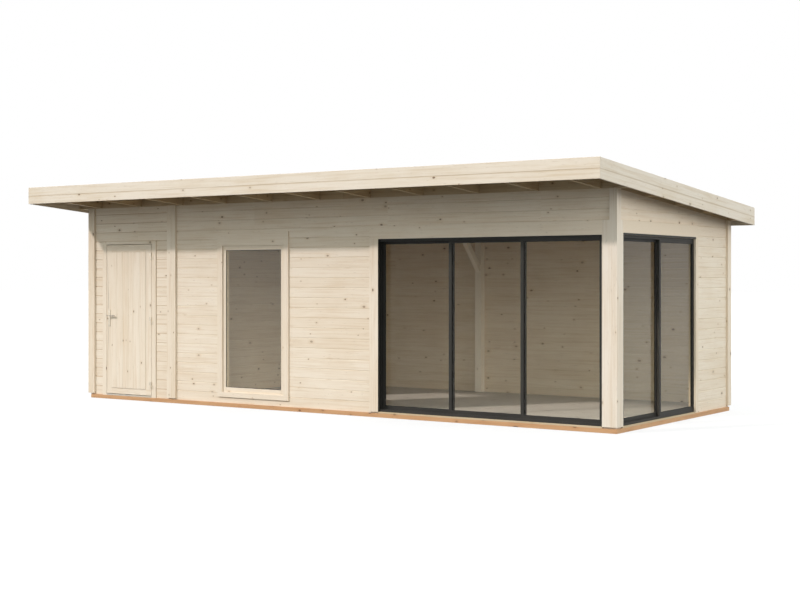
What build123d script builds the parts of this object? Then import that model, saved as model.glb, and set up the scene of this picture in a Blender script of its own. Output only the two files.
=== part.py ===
from build123d import *
import math
import os

# Garden shed of planed wall logs: a lean-to roof falling to the back, a store with a boarded door
# on the left and a room glazed with sliding doors round its right front corner.
# Millimetres, +X to the right along the front, +Y to the back, +Z up, ground at Z = 0.

# Walls
wall_length = 7365.0
wall_depth = 2933.0
wall_thick = 44.0
log_pitch = 114.0
log_chamfer = 5.0

# Ground frame and floor
bearer_height = 45.0
bearer_width = 90.0
bearer_trim_inset = 4.0
bearer_wall_inset = 20.0
cross_bearer_count = 11
floor_thick = 24.0

# Roof
front_overhang = 819.0
back_overhang = 212.0
side_overhang = 236.0
roof_slope_deg = 4.45
upper_wall_height = 311.0
rafter_width = 45.0
rafter_depth = 145.0
rafter_count = 11
rafter_end_gap = 180.0
nogging_first = 673.0
nogging_pitch = 722.0
nogging_count = 3
deck_thick = 19.0
felt_thick = 4.0
fascia_thick = 20.0
fascia_height = 203.0
fascia_drop = 30.0
fascia_lower_board = 95.0
fascia_groove = 3.0

# Cover boards over the corners and the partition
board_thick = 26.0
corner_board_width = 108.0
gable_board_width = 70.0
board_foot = 15.0
partition_board_width = 140.0
partition_from_left = 1421.0

# Glazed corner: posts, lintels and sills
front_proud = 26.0
side_proud = 26.0
corner_post_width = 164.0
corner_post_depth = 140.0
corner_notch_front = 81.0
corner_notch_side = 50.0
front_jamb_width = 117.0
side_jamb_width = 67.0
side_jamb_depth = 90.0
front_opening = 2705.0
side_opening = 1815.0
sill_thick = 17.0
sill_setback = 6.0
slider_height = 1888.0
lintel_least_height = 100.0

# Sliding doors
frame_jamb = 32.0
frame_plate = 12.0
corner_jamb_width = 60.0
flange_thick = 3.0
flange_setback = 2.0
fin_height = 14.0
fin_thick = 4.0
sash_thick = 28.0
sash_side_play = 3.0
sash_run_gap = 0.4
sash_end_gap = 5.0
sash_let_in_front = 21.5
sash_let_in_side = 18.0
sash_slot_play = 2.0
sash_stile = 37.0
sash_top_rail = 35.0
sash_bottom_rail = 47.0
glass_thick = 8.0
joint_gap = 0.5
front_channels = 3
side_channels = 2

# Knee-braced frame against the back wall
frame_bay = 5
frame_bay_share = 0.56
frame_post_width = 90.0
brace_thick = 70.0
brace_width = 60.0
brace_drop = 590.0
brace_angle_deg = 48.0

# Store door
door_from_left = 221.0
door_opening = 930.0
door_jamb = 72.0
door_head = 38.0
door_proud = 14.0
door_gap = 5.0
door_stop = 20.0
door_stop_thick = 23.0
threshold_height = 20.0
leaf_thick = 40.0
leaf_stile = 88.0
leaf_top_rail = 90.0
leaf_bottom_rail = 75.0
leaf_raise = 8.0
leaf_board_count = 6
leaf_groove = 3.0
hinge_barrel_radius = 7.5
hinge_pin_radius = 4.0
hinge_height = 90.0
hinge_plate = 32.0
hinge_plate_thick = 3.0
hinge_play = 0.3
hinge_axis_out = 8.0
hinge_low_gap = 130.0
hinge_high_gap = 150.0

# Lever handle on its back plates
lever_backset = 49.0
lever_height = 1050.0
lever_length = 125.0
lever_bar = 16.0
lever_bar_thick = 11.0
lever_neck_radius = 9.0
lever_neck_length = 42.0
lever_play = 0.4
spindle_radius = 6.0
spindle_bore_radius = 10.0
plate_width = 34.0
plate_height = 220.0
plate_thick = 6.0
plate_above_lever = 80.0

# Tall fixed window
window_place_share = 0.419
window_width = 942.0
window_side = 50.0
window_bottom = 73.0
window_top = 130.0
window_in = 10.0
window_glass_setback = 8.0
casing_thick = 20.0
casing_lap = 70.0
casing_reveal = 4.0
casing_bottom_lap = 44.0
casing_top_lap = 77.0
casing_top_reveal = 79.0
casing_bottom_reveal = 17.0

overrun = 50.0

# Places that follow from the sizes above
left = -wall_length / 2
right = wall_length / 2
roof_depth = wall_depth + front_overhang + back_overhang
front = -roof_depth / 2 + front_overhang
back = front + wall_depth
roof_front = front - front_overhang
roof_back = back + back_overhang
roof_left = left - side_overhang
roof_right = right + side_overhang
inner_left = left + wall_thick
inner_right = right - wall_thick
inner_front = front + wall_thick
inner_back = back - wall_thick
log_base = bearer_height
floor_top = bearer_height + floor_thick
fall = math.tan(math.radians(roof_slope_deg))
slider_bottom = bearer_height + sill_thick
slider_top = slider_bottom + slider_height
lintel_course = math.ceil((slider_top + lintel_least_height - log_base) / log_pitch)
lintel_top = log_base + lintel_course * log_pitch
rafter_seat = lintel_top + upper_wall_height
store_head = lintel_top - log_pitch
door_frame_back = leaf_thick + door_gap + door_stop_thick - door_proud
window_base = log_base + log_pitch

post_left = right + side_proud - corner_post_width
post_front = front - front_proud
post_back = post_front + corner_post_depth
opening_left = post_left - front_opening
jamb_left = opening_left - front_jamb_width
side_opening_back = post_back + side_opening
side_jamb_back = side_opening_back + side_jamb_width
upper_front_end = post_left + corner_notch_front
upper_side_start = post_back - corner_notch_side

partition_centre = left + partition_from_left
partition_left = partition_centre - wall_thick / 2
partition_right = partition_centre + wall_thick / 2
door_left = left + door_from_left
door_right = door_left + door_opening
window_bay_left = partition_centre + partition_board_width / 2
window_centre = window_bay_left + window_place_share * (jamb_left - window_bay_left)
window_left = window_centre - window_width / 2
window_right = window_centre + window_width / 2

rafter_pitch = (wall_length - 2 * rafter_end_gap) / (rafter_count - 1)
rafter_centres = [left + rafter_end_gap + i * rafter_pitch for i in range(rafter_count)]
frame_centre = rafter_centres[frame_bay] + frame_bay_share * rafter_pitch
nogging_starts = [front + nogging_first + i * nogging_pitch for i in range(nogging_count)]
nogging_starts = [front] + nogging_starts + [back - rafter_width]
channel_pitch = sash_thick + 2 * sash_side_play + fin_thick
front_frame_depth = front_channels * channel_pitch + fin_thick
side_frame_depth = side_channels * channel_pitch + fin_thick
one_channel_depth = channel_pitch + fin_thick
glazing_back = front + front_frame_depth
glazing_left = right - side_frame_depth


def underside(y):
    # height of the rafters' underside
    return rafter_seat - (y - front) * fall


def block(x0, x1, y0, y1, z0, z1):
    middle = Pos((x0 + x1) / 2, (y0 + y1) / 2, (z0 + z1) / 2)
    return middle * Box(x1 - x0, y1 - y0, z1 - z0)


def prism_along_x(points, x0, x1):
    # a (y, z) outline run from x0 to x1
    face = make_face(Polyline(*points, close=True))
    return extrude(Plane.YZ.offset(x0) * face, amount=x1 - x0)


def prism_along_y(points, y0, y1):
    # an (x, z) outline run from y0 to y1
    face = make_face(Polyline(*points, close=True))
    return extrude(Plane.XZ.offset(-y1) * face, amount=y1 - y0)


def roof_prism(x0, x1, y0, y1, low, high):
    # a piece that follows the roof's fall, from low to high above the rafters' underside
    points = [
        (y0, underside(y0) + low),
        (y1, underside(y1) + low),
        (y1, underside(y1) + high),
        (y0, underside(y0) + high),
    ]
    return prism_along_x(points, x0, x1)


def below_roof(shape, height_above=0.0):
    # trims a piece to the slope that lies height_above the rafters' underside
    box = shape.bounding_box()
    top = box.max.Z + overrun - underside(box.max.Y + overrun)
    cutter = roof_prism(
        box.min.X - overrun,
        box.max.X + overrun,
        box.min.Y - overrun,
        box.max.Y + overrun,
        height_above,
        max(top, height_above) + overrun,
    )
    return shape - cutter


def log_face(face, inward, z0, z1):
    # one face of a log wall, bottom to top, chamfered at every joint between logs
    points = []
    count = math.floor((z1 - log_base) / log_pitch + log_chamfer / log_pitch)
    joints = [log_base + i * log_pitch for i in range(1, count + 1)]
    if not any(abs(z0 - joint) < log_chamfer for joint in joints):
        points.append((face, z0))
    for joint in joints:
        if joint < z0 - log_chamfer:
            continue
        if joint > z0 + log_chamfer:
            points.append((face, joint - log_chamfer))
        points.append((face + inward * log_chamfer, joint))
        if joint < z1 - log_chamfer:
            points.append((face, joint + log_chamfer))
    if not any(abs(z1 - joint) < log_chamfer for joint in joints):
        points.append((face, z1))
    return points


def log_section(low_face, high_face, z0, z1):
    return log_face(low_face, 1, z0, z1) + log_face(high_face, -1, z0, z1)[::-1]


def logs_along_x(x0, x1, y0, z0, z1):
    return prism_along_x(log_section(y0, y0 + wall_thick, z0, z1), x0, x1)


def logs_along_y(x0, y0, y1, z0, z1):
    return prism_along_y(log_section(x0, x0 + wall_thick, z0, z1), y0, y1)


def front_block(u0, u1, depth0, depth1, z0, z1):
    # along the front, depths counted inwards from the logs' outer face
    return block(u0, u1, front + depth0, front + depth1, z0, z1)


def side_block(u0, u1, depth0, depth1, z0, z1):
    # along the right side, depths counted inwards from the logs' outer face
    return block(right - depth1, right - depth0, u0, u1, z0, z1)


def ground_frame():
    x0, x1 = left + bearer_wall_inset, right + side_proud - bearer_trim_inset
    y0, y1 = post_front + bearer_trim_inset, back - bearer_wall_inset
    long_bearers = [
        block(x0, x1, y0, y0 + bearer_width, 0, bearer_height),
        block(x0, x1, y1 - bearer_width, y1, 0, bearer_height),
    ]
    pitch = (x1 - x0 - bearer_width) / (cross_bearer_count - 1)
    cross_bearers = [
        block(x, x + bearer_width, y0 + bearer_width, y1 - bearer_width, 0, bearer_height)
        for x in [x0 + i * pitch for i in range(cross_bearer_count)]
    ]
    return {"long_bearers": long_bearers, "cross_bearers": cross_bearers}


def floors():
    store = block(inner_left, partition_left, inner_front, inner_back, bearer_height, floor_top)
    room = block(partition_right, inner_right, inner_front, inner_back, bearer_height, floor_top)
    high = floor_top + overrun
    store -= front_block(door_left, door_right, 0, door_frame_back, 0, high)
    room -= block(jamb_left, right, front, glazing_back, 0, high)
    room -= block(post_left, right, front, post_back, 0, high)
    room -= block(glazing_left, right, front, side_opening_back, 0, high)
    room -= block(right + side_proud - side_jamb_depth, right, front, side_jamb_back, 0, high)
    return {"floor": [store, room]}


def front_wall():
    lower = [
        logs_along_x(left, door_left, front, log_base, store_head),
        logs_along_x(door_right, window_left, front, window_base, store_head),
        logs_along_x(window_right, jamb_left, front, window_base, store_head),
    ]
    sill_course = logs_along_x(door_right, jamb_left, front, log_base, window_base)
    upper = logs_along_x(left, jamb_left, front, store_head, lintel_top)
    upper += logs_along_x(left, upper_front_end, front, lintel_top, rafter_seat)
    return {
        "front_wall_lower": lower,
        "front_wall_sill_course": [sill_course],
        "front_wall_upper": [below_roof(upper)],
    }


def other_walls():
    side_x = right - wall_thick
    right_lower = logs_along_y(side_x, side_jamb_back, inner_back, log_base, lintel_top)
    right_upper = logs_along_y(side_x, upper_side_start, inner_back, lintel_top, rafter_seat)
    left_wall = logs_along_y(left, inner_front, inner_back, log_base, rafter_seat)
    back_wall = logs_along_x(left, right, inner_back, log_base, rafter_seat)
    partition_top = rafter_seat + rafter_depth
    partition = logs_along_y(partition_left, inner_front, inner_back, log_base, partition_top)
    partition = below_roof(partition, rafter_depth)
    half = rafter_width / 2
    for x in rafter_centres:
        if abs(x - partition_centre) < wall_thick / 2 + half:
            partition -= roof_prism(x - half, x + half, front, back, 0, rafter_depth)
    return {
        "right_wall": [right_lower],
        "right_wall_upper": [below_roof(right_upper)],
        "left_wall": [below_roof(left_wall)],
        "back_wall": [below_roof(back_wall)],
        "partition_wall": [partition],
    }


def cover_boards():
    outer_left = left - board_thick
    outer_right = right + board_thick
    outer_back = back + board_thick
    board_front = front - board_thick
    half = partition_board_width / 2
    low, high = bearer_height + board_foot, rafter_seat + overrun
    long_sides = [
        block(outer_left, outer_left + corner_board_width, board_front, front, low, high),
        block(partition_centre - half, partition_centre + half, board_front, front, low, high),
        block(outer_left, outer_left + corner_board_width, back, outer_back, low, high),
        block(partition_centre - half, partition_centre + half, back, outer_back, low, high),
        block(outer_right - corner_board_width, outer_right, back, outer_back, low, high),
    ]
    gables = [
        block(outer_left, left, front, front + gable_board_width, low, high),
        block(outer_left, left, back - gable_board_width, back, low, high),
        block(right, outer_right, back - gable_board_width, back, low, high),
    ]
    return {
        "cover_boards": [below_roof(board) for board in long_sides],
        "gable_cover_boards": [below_roof(board) for board in gables],
    }


def glazed_corner():
    # each post is rebated for the slider's jamb, and its proud face stops short of the bearer
    foot = bearer_height + board_foot
    trim_right = right + side_proud
    side_jamb_left = trim_right - side_jamb_depth
    high = rafter_seat + overrun
    post = block(post_left, trim_right, post_front, post_back, bearer_height, high)
    post -= block(post_left, upper_front_end, post_front, inner_front, lintel_top, high)
    post -= block(inner_right, trim_right, upper_side_start, post_back, lintel_top, high)
    post -= block(post_left, post_left + frame_jamb, front, post_back, slider_bottom, slider_top)
    post -= block(post_left, right, post_back - frame_jamb, post_back, slider_bottom, slider_top)
    post -= block(post_left, trim_right, post_front, front, bearer_height, foot)
    post -= block(right, trim_right, post_front, post_back, bearer_height, foot)
    front_jamb = block(jamb_left, opening_left, post_front, glazing_back, bearer_height, slider_top)
    rebate_left = opening_left - frame_jamb
    front_jamb -= block(rebate_left, opening_left, front, glazing_back, slider_bottom, slider_top)
    front_jamb -= block(jamb_left, opening_left, post_front, front, bearer_height, foot)
    side_jamb = block(
        side_jamb_left, trim_right, side_opening_back, side_jamb_back, bearer_height, slider_top
    )
    side_jamb -= block(
        right - one_channel_depth,
        right,
        side_opening_back,
        side_opening_back + frame_jamb,
        slider_bottom,
        slider_top,
    )
    side_jamb -= block(right, trim_right, side_opening_back, side_jamb_back, bearer_height, foot)
    lintels = [
        block(jamb_left, post_left, post_front, glazing_back, slider_top, lintel_top),
        block(glazing_left, trim_right, post_back, side_jamb_back, slider_top, lintel_top),
    ]
    sills = [
        block(opening_left, post_left, post_front + sill_setback, glazing_back, bearer_height, slider_bottom),
        block(
            glazing_left,
            trim_right - sill_setback,
            post_back,
            side_opening_back,
            bearer_height,
            slider_bottom,
        ),
    ]
    return {
        "corner_post": [below_roof(post)],
        "jamb_posts": [front_jamb, side_jamb],
        "glazing_lintels": lintels,
        "slider_sills": sills,
    }


def braced_frame():
    half = frame_post_width / 2
    post_face = inner_back - frame_post_width
    post = block(frame_centre - half, frame_centre + half, post_face, inner_back, floor_top, rafter_seat)
    lean = math.radians(brace_angle_deg)
    rise = math.tan(lean)

    def meets_beam(z_at_post):
        # where a line up the brace from the post meets the beam's underside
        run = (underside(post_face) - z_at_post) / (rise - fall)
        return (post_face - run, underside(post_face - run))

    brace_foot = underside(post_face) - brace_drop
    upper = brace_foot + brace_thick / math.cos(lean)
    outline = [(post_face, brace_foot), (post_face, upper), meets_beam(upper), meets_beam(brace_foot)]
    brace = prism_along_x(outline, frame_centre - brace_width / 2, frame_centre + brace_width / 2)
    return {"frame_post": [below_roof(post)], "frame_brace": [brace]}


def roof_frame():
    y0, y1 = roof_front + fascia_thick, roof_back - fascia_thick
    half = rafter_width / 2
    rafters = [roof_prism(x - half, x + half, y0, y1, 0, rafter_depth) for x in rafter_centres]
    beam_half = frame_post_width / 2
    beam = roof_prism(frame_centre - beam_half, frame_centre + beam_half, front, back, 0, rafter_depth)
    spans = [
        (roof_left + fascia_thick, rafter_centres[0] - half),
        (rafter_centres[-1] + half, roof_right - fascia_thick),
    ]
    noggings = [
        roof_prism(x0, x1, y, y + rafter_width, 0, rafter_depth) for x0, x1 in spans for y in nogging_starts
    ]
    edges = [(x - half, x + half) for x in rafter_centres]
    edges.append((frame_centre - beam_half, frame_centre + beam_half))
    edges.sort()
    gaps = [(a[1], b[0]) for a, b in zip(edges, edges[1:])]
    blocking = [
        roof_prism(x0, x1, y, y + wall_thick, 0, rafter_depth) for x0, x1 in gaps for y in (front, inner_back)
    ]
    blocking += [
        roof_prism(x, x + wall_thick, y0 + rafter_width, y1, 0, rafter_depth)
        for x in (left, inner_right)
        for y0, y1 in zip(nogging_starts, nogging_starts[1:])
    ]
    return {"rafters": rafters + [beam], "gable_noggings": noggings, "rafter_blocking": blocking}


def roof_cover():
    y0, y1 = roof_front + fascia_thick, roof_back - fascia_thick
    x0, x1 = roof_left + fascia_thick, roof_right - fascia_thick
    deck_top = rafter_depth + deck_thick
    deck = roof_prism(x0, x1, y0, y1, rafter_depth, deck_top)
    felt = roof_prism(x0, x1, y0, y1, deck_top, deck_top + felt_thick)
    return {"roof_deck": [deck], "roof_felt": [felt]}


def fascias():
    low, high = -fascia_drop, fascia_height - fascia_drop
    seam = low + fascia_lower_board
    front_z = underside(roof_front)
    board = block(roof_left, roof_right, roof_front, roof_front + fascia_thick, front_z + low, front_z + high)
    vee = [
        (roof_front - fascia_groove, front_z + seam - 2 * fascia_groove),
        (roof_front + fascia_groove, front_z + seam),
        (roof_front - fascia_groove, front_z + seam + 2 * fascia_groove),
    ]
    front_board = board - prism_along_x(vee, roof_left - overrun, roof_right + overrun)
    back_start = roof_back - fascia_thick
    back_board = roof_prism(
        roof_left + fascia_thick,
        roof_right - fascia_thick,
        back_start,
        roof_back,
        low,
        rafter_depth + deck_thick,
    )
    sides = []
    for outer, inward in ((roof_left, 1), (roof_right, -1)):
        x0, x1 = sorted((outer, outer + inward * fascia_thick))
        side = roof_prism(x0, x1, roof_front + fascia_thick, roof_back, low, high)
        for turn in (-1, 1):
            tip = outer + inward * fascia_groove
            side -= slanting_vee(outer, tip, seam, turn)
        sides.append(side)
    return {"front_fascia": [front_board], "back_fascia": [back_board], "side_fascias": sides}


def slanting_vee(outer, tip, seam, turn):
    # half of the vee between the two boards of a sloping fascia
    y0, y1 = roof_front - overrun, roof_back + overrun
    ends = []
    for y in (y0, y1):
        z = underside(y) + seam
        far = outer - (tip - outer)
        points = [(tip, y, z), (far, y, z), (far, y, z + turn * 2 * fascia_groove)]
        ends.append(make_face(Polyline(*points, close=True)))
    return loft(ends)


def store_door_frame():
    inner_x0, inner_x1 = door_left + door_jamb, door_right - door_jamb
    head_z = store_head - door_head
    stop_front = leaf_thick + door_gap - door_proud
    jambs = []
    for x0, x1, stop_x0, stop_x1 in (
        (door_left, inner_x0, inner_x0, inner_x0 + door_stop),
        (inner_x1, door_right, inner_x1 - door_stop, inner_x1),
    ):
        jamb = front_block(x0, x1, -door_proud, door_frame_back, log_base, head_z - joint_gap)
        jamb += front_block(stop_x0, stop_x1, stop_front, door_frame_back, threshold_top, head_z - joint_gap)
        jambs.append(jamb)
    head = front_block(door_left, door_right, -door_proud, door_frame_back, head_z, store_head)
    threshold = front_block(inner_x0, inner_x1, -door_proud, door_frame_back, log_base, threshold_top)
    return {"store_door_frame": jambs + [head], "store_door_threshold": [threshold]}


threshold_top = log_base + threshold_height
leaf_left = door_left + door_jamb + door_gap
leaf_right = door_right - door_jamb - door_gap
leaf_front = front - door_proud
leaf_back = leaf_front + leaf_thick
leaf_low = threshold_top + door_gap
leaf_high = store_head - door_head - door_gap
hinge_x = leaf_right + door_gap / 2
hinge_y = leaf_front - hinge_axis_out
hinge_low, hinge_high = leaf_low + hinge_low_gap, leaf_high - hinge_high_gap
hinge_heights = (hinge_low, (hinge_low + hinge_high) / 2, hinge_high)
lever_x = leaf_left + lever_backset
plate_high = lever_height + plate_above_lever
plate_low = plate_high - plate_height


def bore_along_y(x, z, radius, y0, y1):
    return Pos(x, (y0 + y1) / 2, z) * Rot(90, 0, 0) * Cylinder(radius, y1 - y0)


def store_door_leaf():
    # a flat leaf with a raised field of upright boards on its outer face
    leaf = block(leaf_left, leaf_right, leaf_front, leaf_back, leaf_low, leaf_high)
    x0, x1 = leaf_left + leaf_stile, leaf_right - leaf_stile
    z0, z1 = leaf_low + leaf_bottom_rail, leaf_high - leaf_top_rail
    face = leaf_front - leaf_raise
    leaf += block(x0, x1, face, leaf_front, z0, z1)
    board = (x1 - x0) / leaf_board_count
    for i in range(1, leaf_board_count):
        x = x0 + i * board
        vee = [(x - leaf_groove, face), (x, face + leaf_groove), (x + leaf_groove, face)]
        leaf -= extrude(Plane.XY.offset(z0) * make_face(Polyline(*vee, close=True)), amount=z1 - z0)
    bore_ends = (leaf_front - overrun, leaf_back + overrun)
    leaf -= bore_along_y(lever_x, lever_height, spindle_bore_radius, *bore_ends)
    return {"store_door_leaf": [leaf]}


def barrel(z0, z1, radius):
    return Pos(hinge_x, hinge_y, (z0 + z1) / 2) * Cylinder(radius, z1 - z0)


def store_door_hinges():
    pins, knuckles = [], []
    plate_y0, plate_y1 = leaf_front - hinge_plate_thick, leaf_front
    for middle in hinge_heights:
        z0, z1 = middle - hinge_height / 2, middle + hinge_height / 2
        pin = barrel(z0, middle, hinge_barrel_radius)
        pin += block(hinge_x, hinge_x + hinge_plate, plate_y0, plate_y1, z0, middle)
        pin += barrel(middle, z1 - hinge_play, hinge_pin_radius)
        pins.append(pin)
        low = middle + hinge_play
        knuckle = barrel(low, z1, hinge_barrel_radius)
        knuckle += block(hinge_x - hinge_plate, hinge_x, plate_y0, plate_y1, low, z1)
        knuckle -= barrel(low - overrun, z1 + overrun, hinge_pin_radius + hinge_play)
        knuckles.append(knuckle)
    plates = []
    for y0, y1 in ((leaf_front - plate_thick, leaf_front), (leaf_back, leaf_back + plate_thick)):
        plate = block(lever_x - plate_width / 2, lever_x + plate_width / 2, y0, y1, plate_low, plate_high)
        plate = fillet(plate.edges().filter_by(Axis.Y), plate_width / 3)
        neck_bore = lever_neck_radius + lever_play
        plate -= bore_along_y(lever_x, lever_height, neck_bore, y0 - overrun, y1 + overrun)
        plates.append(plate)
    return {"store_door_hinge_pins": pins, "store_door_fittings": knuckles + plates}


def store_door_lever():
    lever = bore_along_y(
        lever_x, lever_height, spindle_radius, leaf_front - plate_thick, leaf_back + plate_thick
    )
    for face, out in ((leaf_front, -1), (leaf_back, 1)):
        tip = face + out * (plate_thick + lever_neck_length)
        neck_ends = sorted((face, tip))
        lever += bore_along_y(lever_x, lever_height, lever_neck_radius, *neck_ends)
        bar_ends = sorted((tip - out * lever_bar_thick, tip))
        bar = block(
            lever_x,
            lever_x + lever_length,
            *bar_ends,
            lever_height - lever_bar / 2,
            lever_height + lever_bar / 2,
        )
        end_edges = bar.edges().filter_by(Axis.Y).group_by(Axis.X)[-1]
        lever += fillet(end_edges, lever_bar / 3)
    return {"store_door_lever": [lever]}


def window():
    z0, z1 = window_base, store_head
    glass_x0, glass_x1 = window_left + window_side, window_right - window_side
    glass_z0, glass_z1 = z0 + window_bottom, z1 - window_top
    back_face = wall_thick + window_in
    frame = [
        front_block(window_left, glass_x0, 0, back_face, z0, z1),
        front_block(glass_x1, window_right, 0, back_face, z0, z1),
        front_block(glass_x0 + joint_gap, glass_x1 - joint_gap, 0, back_face, z0, glass_z0),
        front_block(glass_x0 + joint_gap, glass_x1 - joint_gap, 0, back_face, glass_z1, z1),
    ]
    outer_x0, outer_x1 = window_left - casing_lap, window_right + casing_lap
    inner_x0, inner_x1 = window_left + casing_reveal, window_right - casing_reveal
    outer_z0, outer_z1 = z0 - casing_bottom_lap, z1 + casing_top_lap
    inner_z0, inner_z1 = z0 + casing_bottom_reveal, z1 - casing_top_reveal
    casing = [
        front_block(outer_x0, inner_x0, -casing_thick, 0, inner_z0 + joint_gap, inner_z1 - joint_gap),
        front_block(inner_x1, outer_x1, -casing_thick, 0, inner_z0 + joint_gap, inner_z1 - joint_gap),
        front_block(outer_x0, outer_x1, -casing_thick, 0, outer_z0, inner_z0),
        front_block(outer_x0, outer_x1, -casing_thick, 0, inner_z1, outer_z1),
    ]
    pane = front_block(
        glass_x0, glass_x1, window_glass_setback, window_glass_setback + glass_thick, glass_z0, glass_z1
    )
    return {"window_frame": frame, "window_casing": casing}, pane


def slider_jamb(place, edge, out, width, depth, let_in):
    # a jamb let into its post beside the opening's edge, slotted where sashes run into it
    ends = sorted((edge + out * joint_gap, edge + out * width))
    jamb = place(*ends, 0, depth, slider_bottom, slider_top)
    if let_in:
        slot = sorted((edge, edge + out * (let_in + sash_slot_play)))
        for i in range(int(depth // channel_pitch)):
            fin = i * channel_pitch
            jamb -= place(*slot, fin + fin_thick, fin + channel_pitch, slider_bottom, slider_top)
    return jamb


def cover_flanges(place, u0, u1, proud):
    # thin strips that line the posts and the lintel in front of the frame
    depth0 = flange_setback - proud
    head_low = slider_top - flange_thick
    return [
        place(u0, u0 + flange_thick, depth0, 0, slider_bottom, head_low - joint_gap),
        place(u1 - flange_thick, u1, depth0, 0, slider_bottom, head_low - joint_gap),
        place(u0, u1, depth0, 0, head_low, slider_top),
    ]


def slider_frame(place, u0, u1, channels, jamb_widths, jamb_depths, let_ins):
    # head and sill with upstanding fins between the channels, and two jambs let into the posts
    depth = channels * channel_pitch + fin_thick
    sill_top, head_low = slider_bottom + frame_plate, slider_top - frame_plate
    sill = place(u0, u1, 0, depth, slider_bottom, sill_top)
    head = place(u0, u1, 0, depth, head_low, slider_top)
    for i in range(channels + 1):
        fin = i * channel_pitch
        sill += place(u0, u1, fin, fin + fin_thick, sill_top, sill_top + fin_height)
        head += place(u0, u1, fin, fin + fin_thick, head_low - fin_height, head_low)
    jambs = [
        slider_jamb(place, u0, -1, jamb_widths[0], jamb_depths[0], let_ins[0]),
        slider_jamb(place, u1, 1, jamb_widths[1], jamb_depths[1], let_ins[1]),
    ]
    return [sill, head] + jambs


def sash(place, u0, u1, channel):
    # a glazed leaf standing in one channel: stiles, rails and its pane
    d0 = channel * channel_pitch + fin_thick + sash_side_play
    d1 = d0 + sash_thick
    low = slider_bottom + frame_plate + sash_run_gap
    high = slider_top - frame_plate - sash_end_gap
    in0, in1 = u0 + sash_stile, u1 - sash_stile
    glass_low, glass_high = low + sash_bottom_rail, high - sash_top_rail
    bars = [
        place(u0, in0, d0, d1, low, high),
        place(in1, u1, d0, d1, low, high),
        place(in0 + joint_gap, in1 - joint_gap, d0, d1, low, glass_low),
        place(in0 + joint_gap, in1 - joint_gap, d0, d1, glass_high, high),
    ]
    mid = (d0 + d1) / 2
    pane = place(in0, in1, mid - glass_thick / 2, mid + glass_thick / 2, glass_low, glass_high)
    return bars, pane


def sash_spans(first, last, count):
    # the closed places of a row of sashes that overlap by one stile
    width = (last - first + (count - 1) * sash_stile) / count
    starts = [first + i * (width - sash_stile) for i in range(count)]
    return [(start, start + width) for start in starts]


def sliding_doors():
    front_jambs = (front_frame_depth, post_back - front)
    side_jambs = (side_frame_depth, one_channel_depth)
    front_widths = (frame_jamb, frame_jamb)
    side_start = post_back + corner_jamb_width
    side_widths = (frame_jamb + corner_jamb_width, frame_jamb)
    front_frame = slider_frame(
        front_block,
        opening_left,
        post_left,
        front_channels,
        front_widths,
        front_jambs,
        (sash_let_in_front, 0),
    )
    side_frame = slider_frame(
        side_block,
        side_start,
        side_opening_back,
        side_channels,
        side_widths,
        side_jambs,
        (0, sash_let_in_side),
    )
    made = {
        "front_slider_frame": front_frame + cover_flanges(front_block, opening_left, post_left, front_proud),
        "side_slider_frame": side_frame,
    }
    spans = sash_spans(opening_left - sash_let_in_front, post_left - sash_end_gap, front_channels)
    fixed_front, fixed_front_pane = sash(front_block, *spans[0], 2)
    middle_bars, middle_pane = sash(front_block, *spans[1], 1)
    right_bars, right_pane = sash(front_block, *spans[2], 0)
    side_spans = sash_spans(side_start + sash_end_gap, side_opening_back + sash_let_in_side, side_channels)
    fixed_side, fixed_side_pane = sash(side_block, *side_spans[0], 1)
    side_bars, side_pane = sash(side_block, *side_spans[1], 0)
    made["front_middle_sash"], made["front_middle_glass"] = middle_bars, [middle_pane]
    made["front_right_sash"], made["front_right_glass"] = right_bars, [right_pane]
    made["side_sash"], made["side_glass"] = side_bars, [side_pane]
    made["fixed_sashes"] = fixed_front + fixed_side
    return made, [fixed_front_pane, fixed_side_pane]


def build():
    nodes = {}
    for pieces in (
        ground_frame(),
        floors(),
        front_wall(),
        other_walls(),
        cover_boards(),
        glazed_corner(),
        braced_frame(),
        roof_frame(),
        roof_cover(),
        fascias(),
        store_door_frame(),
        store_door_leaf(),
        store_door_hinges(),
        store_door_lever(),
    ):
        nodes.update(pieces)
    window_nodes, window_pane = window()
    nodes.update(window_nodes)
    slider_nodes, fixed_panes = sliding_doors()
    nodes.update(slider_nodes)
    nodes["fixed_glass"] = [window_pane] + fixed_panes
    return nodes


def write(nodes):
    os.makedirs("parts", exist_ok=True)
    for name, pieces in nodes.items():
        solids = [solid for piece in pieces for solid in piece.solids()]
        export_step(Compound(children=solids) if len(solids) > 1 else solids[0], f"parts/{name}.step")


write(build())
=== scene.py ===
import bpy
import bmesh
import math
import random
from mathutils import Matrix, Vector


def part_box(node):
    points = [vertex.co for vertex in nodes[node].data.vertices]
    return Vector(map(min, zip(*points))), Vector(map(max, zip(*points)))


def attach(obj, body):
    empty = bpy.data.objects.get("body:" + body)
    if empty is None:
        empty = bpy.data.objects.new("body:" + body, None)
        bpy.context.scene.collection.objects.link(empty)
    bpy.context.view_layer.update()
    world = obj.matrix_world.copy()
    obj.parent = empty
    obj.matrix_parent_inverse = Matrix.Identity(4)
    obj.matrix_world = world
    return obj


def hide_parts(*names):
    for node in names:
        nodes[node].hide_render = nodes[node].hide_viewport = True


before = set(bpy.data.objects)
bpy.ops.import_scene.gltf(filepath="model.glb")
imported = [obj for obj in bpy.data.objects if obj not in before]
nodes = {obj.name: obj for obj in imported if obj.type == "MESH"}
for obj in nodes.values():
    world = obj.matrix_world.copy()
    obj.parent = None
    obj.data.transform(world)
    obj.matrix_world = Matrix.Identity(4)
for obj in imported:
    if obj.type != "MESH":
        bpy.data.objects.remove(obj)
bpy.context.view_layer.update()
print("frame loaded,", len(nodes), "nodes")


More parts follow.
